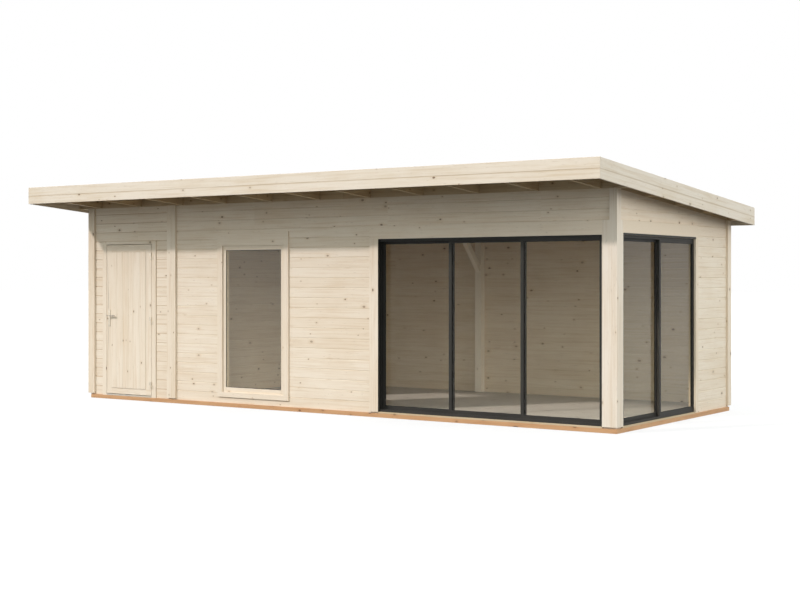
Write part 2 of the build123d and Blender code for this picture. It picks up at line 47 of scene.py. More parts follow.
# camera, where the picture was taken from
cameraValues = {"place": (9.703, -13.593, 1.5254), "turn": 34.64, "lens": 62.763, "shiftY": -0.0251,
                "sensor": 36, "far": 300}

cameraData = bpy.data.cameras.new("viewCamera")
cameraData.sensor_fit = "HORIZONTAL"
cameraData.sensor_width = cameraValues["sensor"]
cameraData.lens = cameraValues["lens"]
cameraData.shift_y = cameraValues["shiftY"]
cameraData.clip_end = cameraValues["far"]
camera = bpy.data.objects.new("viewCamera", cameraData)
camera.location = cameraValues["place"]
camera.rotation_euler = (math.radians(90), 0, math.radians(cameraValues["turn"]))
bpy.context.scene.collection.objects.link(camera)
bpy.context.scene.camera = camera
print("camera set")


# small helpers for shader trees
def colour(red, green, blue):  # screen values 0-255 to linear
    def linear(value):
        value /= 255
        return value / 12.92 if value <= 0.04045 else ((value + 0.055) / 1.055) ** 2.4
    return (linear(red), linear(green), linear(blue), 1)


def wire(tree, source, socket):  # a link or a plain value
    if isinstance(source, bpy.types.NodeSocket):
        tree.links.new(source, socket)
    elif source is not None:
        socket.default_value = source


def calc(tree, operation, *values, clamp=False):
    node = tree.nodes.new("ShaderNodeMath")
    node.operation = operation
    node.use_clamp = clamp
    for value, socket in zip(values, node.inputs):
        wire(tree, value, socket)
    return node.outputs[0]


def join(tree, x, y, z):
    node = tree.nodes.new("ShaderNodeCombineXYZ")
    for value, socket in zip((x, y, z), node.inputs):
        wire(tree, value, socket)
    return node.outputs[0]


def split(tree, vector):
    node = tree.nodes.new("ShaderNodeSeparateXYZ")
    wire(tree, vector, node.inputs[0])
    return node.outputs[0], node.outputs[1], node.outputs[2]


def blend(tree, factor, first, second, kind="MIX"):  # the mix node's colour sockets
    node = tree.nodes.new("ShaderNodeMix")
    node.data_type = "RGBA"
    node.blend_type = kind
    wire(tree, factor, node.inputs[0])
    wire(tree, first, node.inputs[6])
    wire(tree, second, node.inputs[7])
    return node.outputs[2]


def blendVector(tree, factor, first, second):  # the mix node's vector sockets
    node = tree.nodes.new("ShaderNodeMix")
    node.data_type = "VECTOR"
    wire(tree, factor, node.inputs[0])
    wire(tree, first, node.inputs[4])
    wire(tree, second, node.inputs[5])
    return node.outputs[1]


def noiseOf(tree, vector, scale, detail=2.0, roughness=0.5):
    node = tree.nodes.new("ShaderNodeTexNoise")
    wire(tree, vector, node.inputs["Vector"])
    wire(tree, scale, node.inputs["Scale"])
    node.inputs["Detail"].default_value = detail
    node.inputs["Roughness"].default_value = roughness
    return node.outputs[0]


def ease(tree, value, low, high, toLow=0.0, toHigh=1.0):
    node = tree.nodes.new("ShaderNodeMapRange")
    node.interpolation_type = "SMOOTHSTEP"
    for source, socket in zip((value, low, high, toLow, toHigh), node.inputs):
        wire(tree, source, socket)
    return node.outputs[0]


def newGroup(name, ins, outs):
    tree = bpy.data.node_groups.new(name, "ShaderNodeTree")
    for label, kind in ins:
        tree.interface.new_socket(label, in_out="INPUT", socket_type=kind)
    for label, kind in outs:
        tree.interface.new_socket(label, in_out="OUTPUT", socket_type=kind)
    return tree, tree.nodes.new("NodeGroupInput").outputs, tree.nodes.new("NodeGroupOutput").inputs


def place(tree, group, **inputs):
    node = tree.nodes.new("ShaderNodeGroup")
    node.node_tree = group
    for label, source in inputs.items():
        wire(tree, source, node.inputs[label])
    return node.outputs


def newMaterial(name):
    material = bpy.data.materials.new(name)
    material.use_nodes = True
    tree = material.node_tree
    return material, tree, tree.nodes["Principled BSDF"]


def roughen(tree, shader, height, strength, distance):  # bump on the shader's normal
    node = tree.nodes.new("ShaderNodeBump")
    node.inputs["Strength"].default_value = strength
    node.inputs["Distance"].default_value = distance
    wire(tree, height, node.inputs["Height"])
    wire(tree, node.outputs[0], shader.inputs["Normal"])


valueKind, colourKind, vectorKind = "NodeSocketFloat", "NodeSocketColor", "NodeSocketVector"
materials = {}


# planed softwood: growth lines, fibres, knots with their swirl, a tone of its own for every board
grainValues = {
    "boardShift": 3.713, "boardSlip": 1.37, "lean": 0.73,  # sets each board's pattern apart
    # noise layers: scale along and across the grain, detail, roughness
    "broad": (0.8, 7.0, 3, 0.55), "fibres": (6.0, 260.0, 2, 0.6), "streaks": (1.5, 44.0, 3, 0.55),
    "patches": (1.3, 3.4, 3, 0.6), "flecks": (15.0, 130.0, 2, 0.5),
    "streakEdge": (0.42, 0.72), "patchEdge": (0.38, 0.68), "fleckEdge": (0.64, 0.78),
    "ringShare": 0.36, "fibreShare": 0.30, "streakShare": 0.55, "patchShare": 0.34, "fleckShare": 0.30,
    "ringWidth": 0.011, "ringSway": 0.05, "ringPower": 3.0, "swirl": 0.8,
    "boardEdge": (0.35, 1.0), "boardTone": 0.15,
    # knots: least and extra radius, edges in radii
    "knotSpacing": (0.34, 0.12), "knotScatter": 0.9, "knotLength": 0.62, "knotSize": (0.0045, 0.0085),
    "knotWobble": 0.004, "wobbleScale": 90, "knotEdge": (1.15, 0.75), "knotDepth": (0.40, 0.86),
    "haloEdge": (3.6, 0.9), "haloShare": 0.42, "rimEdge": (0.45, 0.95), "rimShare": 0.5,
    "rimTone": (0.02, 0.011, 0.006, 1),
    "endRings": 900.0, "endCentre": 0.03, "endShare": 0.45, "endSwing": 0.2,
    "rough": 0.52, "ringRough": 0.10, "knotRough": -0.14,
    "fibreHeight": 0.35, "ringHeight": 0.45, "knotHeight": 0.5,
}


def planedGrainGroup(values):
    tree, given, out = newGroup(
        "planedGrain",
        [("Along", vectorKind), ("Board", valueKind), ("Pale", colourKind), ("Ring", colourKind),
         ("Knot", colourKind), ("Contrast", valueKind), ("Knots", valueKind), ("KnotScale", valueKind),
         ("Ends", valueKind)],
        [("Colour", colourKind), ("Roughness", valueKind), ("Height", valueKind)],
    )
    x, y, z = split(tree, given["Along"])
    board = given["Board"]
    shift = calc(tree, "MULTIPLY", board, values["boardShift"])
    across = calc(tree, "ADD", y, calc(tree, "MULTIPLY", z, values["lean"]))

    def radiusOf(first, second):
        squares = calc(tree, "ADD", calc(tree, "POWER", first, 2.0), calc(tree, "POWER", second, 2.0))
        return calc(tree, "SQRT", squares)

    def layer(name, slips=True):
        length, width, detail, roughness = values[name]
        start = calc(tree, "MULTIPLY", x, length)
        if slips:
            start = calc(tree, "ADD", start, shift)
        vector = join(tree, start, calc(tree, "MULTIPLY", y, width), calc(tree, "MULTIPLY", z, width))
        return noiseOf(tree, vector, 1.0, detail, roughness)

    # knots: one place per cell, some cells stay clear
    alongStep, acrossStep = values["knotSpacing"]
    slip = calc(tree, "MULTIPLY", board, values["boardSlip"])
    cellX = calc(tree, "DIVIDE", calc(tree, "ADD", x, shift), alongStep)
    cellY = calc(tree, "DIVIDE", calc(tree, "ADD", across, slip), acrossStep)
    cells = tree.nodes.new("ShaderNodeTexVoronoi")
    cells.voronoi_dimensions = "2D"
    cells.inputs["Scale"].default_value = 1
    cells.inputs["Randomness"].default_value = values["knotScatter"]
    wire(tree, join(tree, cellX, cellY, 0.0), cells.inputs["Vector"])
    spotX, spotY = split(tree, cells.outputs["Position"])[:2]
    chance, size, depth = split(tree, cells.outputs["Color"])
    offX = calc(tree, "MULTIPLY", calc(tree, "SUBTRACT", cellX, spotX), alongStep * values["knotLength"])
    offY = calc(tree, "MULTIPLY", calc(tree, "SUBTRACT", cellY, spotY), acrossStep)
    wobble = noiseOf(tree, given["Along"], values["wobbleScale"])
    wobble = calc(tree, "MULTIPLY", wobble, values["knotWobble"])
    wobble = calc(tree, "SUBTRACT", wobble, values["knotWobble"] / 2)
    radius = calc(tree, "ADD", radiusOf(offX, offY), wobble)
    there = calc(tree, "LESS_THAN", chance, given["Knots"])
    least, extra = values["knotSize"]
    knotRadius = calc(tree, "MULTIPLY_ADD", calc(tree, "POWER", size, 2.0), extra, least)
    knotRadius = calc(tree, "MULTIPLY", knotRadius, given["KnotScale"])
    share = calc(tree, "DIVIDE", radius, knotRadius)
    knot = calc(tree, "MULTIPLY", ease(tree, share, *values["knotEdge"]), there)
    halo = calc(tree, "MULTIPLY", ease(tree, share, *values["haloEdge"]), there)
    # growth lines bend round the knots
    bend = calc(tree, "MULTIPLY", calc(tree, "MULTIPLY", halo, offY), values["swirl"])
    line = calc(tree, "ADD", calc(tree, "MULTIPLY_ADD", layer("broad"), values["ringSway"], across), bend)
    wave = calc(tree, "SINE", calc(tree, "MULTIPLY", line, 2 * math.pi / values["ringWidth"]))
    ring = calc(tree, "POWER", calc(tree, "MULTIPLY_ADD", wave, 0.5, 0.5), values["ringPower"])
    fibres = layer("fibres")
    streak = ease(tree, layer("streaks"), *values["streakEdge"])
    # broad warm patches that run over the joints, short flecks along the grain
    patch = ease(tree, layer("patches", False), *values["patchEdge"])
    fleck = ease(tree, layer("flecks"), *values["fleckEdge"])
    amount = calc(tree, "MULTIPLY", fibres, values["fibreShare"])
    for mask, weight in ((ring, "ringShare"), (streak, "streakShare"), (patch, "patchShare")):
        amount = calc(tree, "MULTIPLY_ADD", mask, values[weight], amount)
    amount = calc(tree, "MULTIPLY", amount, given["Contrast"], clamp=True)
    wood = blend(tree, amount, given["Pale"], given["Ring"])
    wood = blend(tree, calc(tree, "MULTIPLY", fleck, values["fleckShare"]), wood, given["Knot"])
    # a tone for each board
    dice = tree.nodes.new("ShaderNodeTexWhiteNoise")
    dice.noise_dimensions = "1D"
    wire(tree, board, dice.inputs["W"])
    tone = ease(tree, dice.outputs["Value"], *values["boardEdge"], 0.0, values["boardTone"])
    wood = blend(tree, tone, wood, given["Ring"])
    # knots and the darker wood round them
    wood = blend(tree, calc(tree, "MULTIPLY", halo, values["haloShare"]), wood, given["Ring"])
    rim = calc(tree, "MULTIPLY", ease(tree, share, *values["rimEdge"]), values["rimShare"])
    heart = blend(tree, rim, given["Knot"], values["rimTone"])
    depth = ease(tree, depth, 0.0, 1.0, *values["knotDepth"])
    wood = blend(tree, calc(tree, "MULTIPLY", knot, depth), wood, heart)
    # sawn ends are darker, with arcs
    reach = radiusOf(calc(tree, "ADD", y, values["endCentre"]), z)
    arcs = calc(tree, "SINE", calc(tree, "MULTIPLY", reach, values["endRings"]))
    arcs = calc(tree, "MULTIPLY_ADD", arcs, values["endSwing"], values["endShare"])
    ends = blend(tree, arcs, given["Pale"], given["Ring"])
    wire(tree, blend(tree, given["Ends"], wood, ends), out["Colour"])
    rough = calc(tree, "MULTIPLY_ADD", ring, values["ringRough"], values["rough"])
    wire(tree, calc(tree, "MULTIPLY_ADD", knot, values["knotRough"], rough), out["Roughness"])
    height = calc(tree, "MULTIPLY", ring, values["ringHeight"])
    height = calc(tree, "MULTIPLY_ADD", fibres, values["fibreHeight"], height)
    wire(tree, calc(tree, "MULTIPLY_ADD", knot, values["knotHeight"], height), out["Height"])
    return tree


planedGrain = planedGrainGroup(grainValues)


# the shut joint between two boards or logs gathers a little shade and dust: how dark it is on
# either side of the edge between store and room, and between the boards of the fascias
seamValues = {"core": 0.2, "edge": -2.2615, "fade": 0.01, "store": 0.5, "room": 0.05, "fascia": 0.42}


def jointShadeGroup(values):
    tree, given, out = newGroup(
        "jointShade",
        [("Place", valueKind), ("Start", valueKind), ("Pitch", valueKind), ("Width", valueKind)],
        [("Mask", valueKind)],
    )
    count = calc(tree, "DIVIDE", calc(tree, "SUBTRACT", given["Place"], given["Start"]), given["Pitch"])
    part = calc(tree, "FRACT", count)
    part = calc(tree, "MINIMUM", part, calc(tree, "SUBTRACT", 1.0, part))
    near = calc(tree, "MULTIPLY", part, given["Pitch"])
    core = calc(tree, "MULTIPLY", given["Width"], values["core"])
    wire(tree, ease(tree, near, given["Width"], core), out["Mask"])
    return tree


jointShade = jointShadeGroup(seamValues)

# pale wood, growth lines and knots of each kind of timber
plainKnot = colour(112, 82, 54)
woodTones = {
    "planed": (colour(237, 226, 208), colour(209, 185, 152), plainKnot),
    # rough-sawn timber is darker than planed, and its tone is darkened further so the underside of the eave
    # and the top of the room read darker: partly painted shade
    "rough": (colour(210, 193, 162), colour(174, 144, 102), plainKnot),
    "floor": (colour(204, 201, 196), colour(184, 178, 168), plainKnot),
    # the inner post and brace get a paler copy of the planed tones: painted light that makes them stand out
    # brighter than the wall behind, as if lit
    "brace": (colour(250, 243, 232), colour(237, 226, 208), plainKnot),
    # the fascia tones are a darker copy of the planed ones: painted shade that keeps the open fascia, which
    # gets more sky, from rendering lighter than the walls
    "fascia": (colour(229, 221, 208), colour(204, 186, 158), plainKnot),
    "corner": (colour(237, 229, 216), colour(209, 188, 159), plainKnot),
    "treated": (colour(208, 165, 122), colour(181, 134, 92), colour(92, 58, 34)),
}

timberValues = {"endEdge": (0.85, 0.95), "firstNumber": 0.37, "numberSteps": (1.0, 17.3), "specular": 0.3,
                "bump": 0.4, "bumpDepth": 0.0012}


def softwood(name, along, joints, tones="planed", contrast=0.55, knots=0.42, knotScale=1.0, seams=None,
             seamDepth=("store", "room"), rails=None, slope=0.0):
    # along: the axis the grain runs on; joints: (axis, start, pitch) that number the boards
    # seams: (axis, start, pitch, width) of joints that show
    # rails: heights below and above which the grain runs along x; slope: fall of the boards to the back
    material, tree, shader = newMaterial(name)
    coords = tree.nodes.new("ShaderNodeTexCoord")
    x, y, z = split(tree, coords.outputs["Object"])
    if slope:
        z = calc(tree, "MULTIPLY_ADD", y, slope, z)
    axes = {"x": x, "y": y, "z": z}
    order = {"x": (x, z, y), "y": (y, z, x), "z": (z, x, y)}
    vector = join(tree, *order[along])
    end = dict(zip("xyz", split(tree, coords.outputs["Normal"])))[along]
    if rails:
        below, above = rails
        isFoot = calc(tree, "LESS_THAN", z, below)
        isRail = calc(tree, "MAXIMUM", isFoot, calc(tree, "GREATER_THAN", z, above))
        vector = blendVector(tree, isRail, vector, join(tree, *order["x"]))
        end = calc(tree, "MULTIPLY", end, calc(tree, "SUBTRACT", 1.0, isRail))
    ends = ease(tree, calc(tree, "ABSOLUTE", end), *timberValues["endEdge"])
    number = timberValues["firstNumber"]
    for (axis, start, pitch), step in zip(joints, timberValues["numberSteps"]):
        count = calc(tree, "FLOOR", calc(tree, "DIVIDE", calc(tree, "SUBTRACT", axes[axis], start), pitch))
        number = calc(tree, "MULTIPLY_ADD", count, step, number)
    pale, ring, knot = woodTones[tones]
    wood = place(tree, planedGrain, Along=vector, Board=number, Pale=pale, Ring=ring, Knot=knot,
                 Contrast=contrast, Knots=knots, KnotScale=knotScale, Ends=ends)
    tint = wood["Colour"]
    if seams:
        axis, start, pitch, width = seams
        seam = place(tree, jointShade, Place=axes[axis], Start=start, Pitch=pitch, Width=width)
        left, right = (seamValues[side] for side in seamDepth)
        edge, fade = seamValues["edge"], seamValues["fade"]
        shade = ease(tree, x, edge - fade, edge + fade, left, right)
        tint = blend(tree, calc(tree, "MULTIPLY", seam["Mask"], shade), tint, ring, "MULTIPLY")
    wire(tree, tint, shader.inputs["Base Color"])
    wire(tree, wood["Roughness"], shader.inputs["Roughness"])
    shader.inputs["Specular IOR Level"].default_value = timberValues["specular"]
    roughen(tree, shader, wood["Height"], timberValues["bump"], timberValues["bumpDepth"])
    return material


# courses of the walls, and the joint in the fascias, which falls with the roof on the gables
roofFall = 0.07782
logCourses = ("z", 0.045, 0.114)
logSeams = (*logCourses, 0.0055)
fasciaFoot, fasciaFront, lowerBoard = 2.4417, 1.982, 0.095
frontJoint = ("z", fasciaFoot + lowerBoard, 0.5)
gableJoint = ("z", fasciaFoot + lowerBoard - roofFall * fasciaFront, 0.5)
fasciaSeam = 0.010
rafterBays = ("x", -3.85, 0.7005)
postPlaces = [("x", 3.6255, 0.31), ("y", -1.0, 0.7)]

woodValues = {
    "frontLogs": {"along": "x", "joints": [logCourses, ("x", -2.85, 1.9)], "seams": logSeams},
    "sideLogs": {"along": "y", "joints": [logCourses, ("x", -3.9, 1.1)], "seams": logSeams},
    "frontBoards": {"along": "x", "joints": [frontJoint, ("y", -2.2, 1.3)], "tones": "fascia",
                    "contrast": 0.75, "knots": 0.4, "seams": (*frontJoint, fasciaSeam),
                    "seamDepth": ("fascia", "fascia")},
    "gableBoards": {"along": "y", "joints": [gableJoint, ("x", -4.1, 2.0)], "tones": "fascia",
                    "contrast": 0.75, "knots": 0.4, "seams": (*gableJoint, fasciaSeam),
                    "seamDepth": ("fascia", "fascia"), "slope": roofFall},
    "lintelBoards": {"along": "x", "joints": [("z", 1.9, 0.5)], "contrast": 0.4, "knots": 0.2},
    "sillBoards": {"along": "x", "joints": [("z", 0.0, 0.5)], "tones": "rough", "contrast": 0.4,
                   "knots": 0.2},
    "coverWood": {"along": "z", "joints": [("x", -3.72, 0.37), ("y", -1.2, 0.83)], "contrast": 0.6,
                  "knots": 0.45},
    "postWood": {"along": "z", "joints": postPlaces, "contrast": 0.6, "knots": 0.25},
    "cornerWood": {"along": "z", "joints": postPlaces, "tones": "corner", "contrast": 0.6, "knots": 0.25},
    "doorWood": {"along": "z", "joints": [("x", -3.2965, 0.1), ("y", -1.177, 0.3)], "knots": 0.2,
                 "rails": (0.145, 1.85)},
    "doorFrameWood": {"along": "z", "joints": [("x", -3.4, 0.43)], "contrast": 0.4, "knots": 0.3,
                      "rails": (0.05, 1.945)},
    "windowWood": {"along": "z", "joints": [("x", -1.45, 0.61)], "contrast": 0.4, "knots": 0.25,
                   "rails": (0.232, 1.853)},
    "casingWood": {"along": "z", "joints": [("x", -1.46, 0.61)], "contrast": 0.4, "knots": 0.3,
                   "rails": (0.1765, 1.9035)},
    "rafterWood": {"along": "y", "joints": [rafterBays], "tones": "rough", "contrast": 0.7, "knots": 0.7},
    "blockWood": {"along": "x", "joints": [rafterBays, ("y", -1.3, 0.61)], "tones": "rough",
                  "contrast": 0.7},
    "deckWood": {"along": "x", "joints": [("y", -1.962, 0.0957), ("x", -3.9, 1.401)], "tones": "rough",
                 "contrast": 0.7},
    "floorWood": {"along": "x", "joints": [("y", -1.045, 0.1203), ("x", -2.2, 1.37)], "tones": "floor",
                  "contrast": 0.6, "knots": 0.5},
    "paintedLightBraceWood": {"along": "z", "joints": [("y", 1.636, 0.3)], "tones": "brace", "contrast": 0.4,
                  "knots": 0.3},
    "bearerWood": {"along": "x", "joints": [("y", -1.3, 1.1)], "tones": "treated", "contrast": 0.8,
                   "knots": 0.7, "knotScale": 2.2},
    "crossBearerWood": {"along": "y", "joints": [("x", -3.75, 0.73)], "tones": "treated", "contrast": 0.8,
                        "knots": 0.7, "knotScale": 2.2},
}
for name, values in woodValues.items():
    materials[name] = softwood(name, **values)
print("woods made")


# coated aluminium, rubber, steel and felt: fine grains over broad patches
def speckleGroup():
    tree, given, out = newGroup(
        "speckle",
        [("Vector", vectorKind), ("GrainScale", valueKind), ("PatchScale", valueKind)],
        [("Grain", valueKind), ("Patch", valueKind)],
    )
    for label, detail in (("Grain", 2), ("Patch", 4)):
        wire(tree, noiseOf(tree, given["Vector"], given[label + "Scale"], detail), out[label])
    return tree


speckle = speckleGroup()


def speckleOf(tree, vector, scales):
    grainScale, patchScale = scales
    return place(tree, speckle, Vector=vector, GrainScale=grainScale, PatchScale=patchScale)


speckleValues = {"patchEdge": (0.35, 0.7), "grainEdge": (0.35, 0.65), "chipEdge": (0.62, 0.70),
                 "roughSpan": 0.14, "bumpDepth": 0.001}
coat, steelDark = colour(48, 47, 44), colour(206, 195, 176)
coatValues = {
    "coatedAluminium": {"tones": (coat, colour(59, 57, 53)), "scales": (900, 3.0), "rough": 0.5,
                        "bump": 0.08, "specular": 0.15},
    "gasketRubber": {"tones": (colour(16, 16, 16), coat), "scales": (700, 20), "rough": 0.7, "bump": 0.1,
                     "specular": 0.25},
    "brushedSteel": {"tones": (steelDark, colour(232, 222, 204)), "scales": (500, 30), "rough": 0.34,
                     "bump": 0.06, "grainShare": 0.3, "metallic": 1.0},
    "leverSteel": {"tones": (colour(158, 150, 138), steelDark), "scales": (500, 30), "rough": 0.38,
                   "bump": 0.06, "grainShare": 0.3, "metallic": 1.0},
    "sillMetal": {"tones": (steelDark, colour(176, 174, 168)), "scales": (400, 9), "rough": 0.4,
                  "bump": 0.06, "grainShare": 0.3, "metallic": 1.0},
    "mineralFelt": {"tones": (colour(74, 76, 78), colour(40, 41, 43)), "scales": (420, 1.7), "rough": 0.93,
                    "bump": 0.8, "grainShare": 0.85, "chips": colour(122, 122, 120)},
}


def speckled(name, tones, scales, rough, bump, grainShare=0.5, metallic=0.0, specular=0.5, chips=None):
    material, tree, shader = newMaterial(name)
    coords = tree.nodes.new("ShaderNodeTexCoord")
    spots = speckleOf(tree, coords.outputs["Object"], scales)
    patch = ease(tree, spots["Patch"], *speckleValues["patchEdge"])
    grain = ease(tree, spots["Grain"], *speckleValues["grainEdge"])
    patch = calc(tree, "MULTIPLY", patch, 1 - grainShare)
    mask = calc(tree, "MULTIPLY_ADD", grain, grainShare, patch)
    tint = blend(tree, mask, *tones)
    if chips:
        tint = blend(tree, ease(tree, spots["Grain"], *speckleValues["chipEdge"]), tint, chips)
    wire(tree, tint, shader.inputs["Base Color"])
    span = speckleValues["roughSpan"]
    wire(tree, calc(tree, "MULTIPLY_ADD", mask, span, rough - span / 2), shader.inputs["Roughness"])
    shader.inputs["Metallic"].default_value = metallic
    shader.inputs["Specular IOR Level"].default_value = specular
    roughen(tree, shader, spots["Grain"], bump, speckleValues["bumpDepth"])
    return material


for name, values in coatValues.items():
    materials[name] = speckled(name, **values)


# tinted panes; the window's is clearer and has more gloss, its clearer tint a painted light that makes it
# render lighter; the side ones are tinted deeper by where they stand, a painted shade
glassValues = {
    "plain": colour(253, 250, 243), "film": colour(247, 244, 236), "filmScales": (3.0, 0.9),
    "windowEdge": 0.0, "window": colour(254, 249, 233), "windowGloss": 0.75,
    "sideEdge": 3.6, "side": colour(220, 216, 203),
    "bend": 1.22, "through": colour(255, 254, 251), "roughEdge": (0.3, 0.8), "rough": 0.02,
}


def tintedGlass(name, values):
    material, tree, shader = newMaterial(name)
    coords = tree.nodes.new("ShaderNodeTexCoord")
    spots = speckleOf(tree, coords.outputs["Object"], values["filmScales"])
    film = blend(tree, spots["Patch"], values["plain"], values["film"])
    x = split(tree, coords.outputs["Object"])[0]
    isWindow = calc(tree, "LESS_THAN", x, values["windowEdge"])
    # the window's clearer tint: painted light
    film = blend(tree, isWindow, film, values["window"])
    # the side panes' deeper tint, chosen by position: painted shade
    film = blend(tree, calc(tree, "GREATER_THAN", x, values["sideEdge"]), film, values["side"])
    wire(tree, film, shader.inputs["Base Color"])
    wire(tree, calc(tree, "MULTIPLY", isWindow, values["windowGloss"]), shader.inputs["Coat Weight"])
    rough = ease(tree, spots["Grain"], *values["roughEdge"], 0.0, values["rough"])
    wire(tree, rough, shader.inputs["Roughness"])
    shader.inputs["Transmission Weight"].default_value = 1.0
    shader.inputs["IOR"].default_value = values["bend"]
    # light on its way to the walls and the floor goes straight through the pane
    clear = tree.nodes.new("ShaderNodeBsdfTransparent")
    clear.inputs["Color"].default_value = values["through"]
    rays = tree.nodes.new("ShaderNodeLightPath")
    mixed = tree.nodes.new("ShaderNodeMixShader")
    straight = calc(tree, "MAXIMUM", rays.outputs["Is Shadow Ray"], rays.outputs["Is Diffuse Ray"])
    wire(tree, straight, mixed.inputs[0])
    wire(tree, shader.outputs[0], mixed.inputs[1])
    wire(tree, clear.outputs[0], mixed.inputs[2])
    wire(tree, mixed.outputs[0], tree.nodes["Material Output"].inputs["Surface"])
    return material


materials["paneGlass"] = tintedGlass("paneGlass", glassValues)
print("metals and glass made")


# the solids that stay, with their finish and eased edges
finishes = {
    "frontLogs": ["front_wall_lower", "front_wall_sill_course", "front_wall_upper", "back_wall"],
    "sideLogs": ["right_wall", "right_wall_upper", "left_wall", "partition_wall"],
    "frontBoards": ["front_fascia", "back_fascia"],
    "gableBoards": ["side_fascias"],
    "coverWood": ["cover_boards", "gable_cover_boards"],
    "postWood": ["jamb_posts"],
    "cornerWood": ["corner_post"],
    "lintelBoards": ["glazing_lintels"],
    "sillBoards": ["slider_sills"],
    "doorWood": ["store_door_leaf"],
    "doorFrameWood": ["store_door_frame"],
    "windowWood": ["window_frame"],
    "casingWood": ["window_casing"],
    "rafterWood": ["rafters"],
    "blockWood": ["gable_noggings", "rafter_blocking"],
    "paintedLightBraceWood": ["frame_post", "frame_brace"],
    "bearerWood": ["long_bearers"],
    "crossBearerWood": ["cross_bearers"],
    "coatedAluminium": ["front_slider_frame", "side_slider_frame", "fixed_sashes", "front_middle_sash",
                        "front_right_sash", "side_sash"],
    "brushedSteel": ["store_door_hinge_pins", "store_door_fittings"],
    "leverSteel": ["store_door_lever"],
    "sillMetal": ["store_door_threshold"],
    "paneGlass": ["fixed_glass", "front_middle_glass", "front_right_glass", "side_glass"],
}
edgeValues = {"wood": 0.0022, "metal": 0.0009, "angle": 50, "segments": 2, "weld": 0.0001}

for finish, names in finishes.items():
    for name in names:
        solid = nodes[name]
        solid.data.materials.clear()
        solid.data.materials.append(materials[finish])
        if finish == "paneGlass":
            continue
        weld = solid.modifiers.new("weld", "WELD")
        weld.merge_threshold = edgeValues["weld"]
        eased = solid.modifiers.new("easedEdges", "BEVEL")
        eased.width = edgeValues["metal" if finish in coatValues else "wood"]
        eased.segments = edgeValues["segments"]
        eased.limit_method = "ANGLE"
        eased.angle_limit = math.radians(edgeValues["angle"])
        eased.harden_normals = True
print("finishes set")


# helpers for pieces made here
def addBoard(work, low, high):
    made = bmesh.ops.create_cube(work, size=1)
    for vertex in made["verts"]:
        vertex.co = Vector([(a + b) / 2 + t * (b - a) for a, b, t in zip(low, high, vertex.co)])


def addFrame(work, side, u0, u1, w0, w1, profile):
    # a mitred frame; profile points are (inset from the edge, depth), side frames run along y
    rings = []
    for inset, depth in profile:
        left, right, foot, head = u0 + inset, u1 - inset, w0 + inset, w1 - inset
        ring = [(left, foot), (right, foot), (right, head), (left, head)]
        rings.append([work.verts.new((depth, u, w) if side else (u, depth, w)) for u, w in ring])
    for first, second in zip(rings, rings[1:] + rings[:1]):
        for i in range(4):
            work.faces.new((first[i], first[i - 1], second[i - 1], second[i]))


# a low domed nail or screw head; rings are (share of the radius, rise in radii)
headValues = {"sides": 10, "rings": ((1.0, -0.1), (1.0, 0.12), (0.72, 0.34)), "crown": 0.42,
              "slottedCrown": 0.1}


def addHead(work, centre, normal, radius, slotted=False):
    turn = Vector(normal).to_track_quat("Z", "Y").to_matrix()
    sides = headValues["sides"]

    def point(out, angle, rise):
        spot = Vector((radius * out * math.cos(angle), radius * out * math.sin(angle), radius * rise))
        return work.verts.new(Vector(centre) + turn @ spot)

    rings = []
    for share, rise in headValues["rings"]:
        rings.append([point(share, 2 * math.pi * k / sides, rise) for k in range(sides)])
    top = point(0, 0, headValues["slottedCrown" if slotted else "crown"])
    for first, second in zip(rings, rings[1:]):
        for k in range(sides):
            work.faces.new((first[k - 1], first[k], second[k], second[k - 1]))
    for k in range(sides):
        work.faces.new((rings[-1][k - 1], rings[-1][k], top))


def finishPiece(work, name, body, material, stands=(), chamfer=0.0):
    if chamfer:
        bmesh.ops.bevel(work, geom=work.edges[:], offset=chamfer, segments=1, affect="EDGES")
    bmesh.ops.recalc_face_normals(work, faces=work.faces[:])
    mesh = bpy.data.meshes.new(name)
    work.to_mesh(mesh)
    work.free()
    mesh.materials.append(materials[material])
    piece = bpy.data.objects.new(name, mesh)
    bpy.context.scene.collection.objects.link(piece)
    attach(piece, body)
    if stands:
        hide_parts(*stands)
    return piece


# floor boards, laid in staggered lengths
floorValues = {"gap": 0.0014, "thick": 0.022, "chamfer": 0.0016, "rows": 23, "seed": 4,
               "lengths": (1.5, 2.6), "leastLength": 0.5, "leastRest": 0.01}


def floorBoards(values):
    random.seed(values["seed"])
    work = bmesh.new()
    low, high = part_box("floor")
    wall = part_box("partition_wall")
    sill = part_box("front_slider_frame")[1].y
    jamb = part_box("jamb_posts")[0].x
    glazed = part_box("side_slider_frame")[0].x
    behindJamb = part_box("jamb_posts")[1].y
    inset = values["gap"] / 2
    foot = high.z - values["thick"]

    def row(x0, x1, y0, y1):
        start = x0
        while start < x1 - values["leastRest"]:
            stop = start + random.uniform(*values["lengths"])
            stop = x1 if stop > x1 - values["leastLength"] else stop
            addBoard(work, (start + inset, y0 + inset, foot), (stop - inset, y1 - inset, high.z))
            start = stop

    step = (high.y - sill) / values["rows"]
    row(wall[1].x, jamb, low.y, sill)
    for i in range(values["rows"]):
        y0, y1 = sill + i * step, sill + (i + 1) * step
        row(wall[1].x, high.x if y0 > behindJamb else glazed, y0, y1)
        row(low.x, wall[0].x, y0, y1)
    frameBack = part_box("store_door_frame")[1].y
    row(low.x, wall[0].x, frameBack, sill)
    finishPiece(work, "floorBoards", "house", "floorWood", ["floor"], values["chamfer"])


floorBoards(floorValues)


# roof boards, seen from below between the rafters
deckValues = {"rows": 41, "gap": 0.0012, "chamfer": 0.0035, "firstRafter": -3.5025, "rafterStep": 0.7005,
              "rafters": 11, "cuts": 2, "seed": 7}
rafterPlaces = [deckValues["firstRafter"] + deckValues["rafterStep"] * i
                for i in range(deckValues["rafters"])]


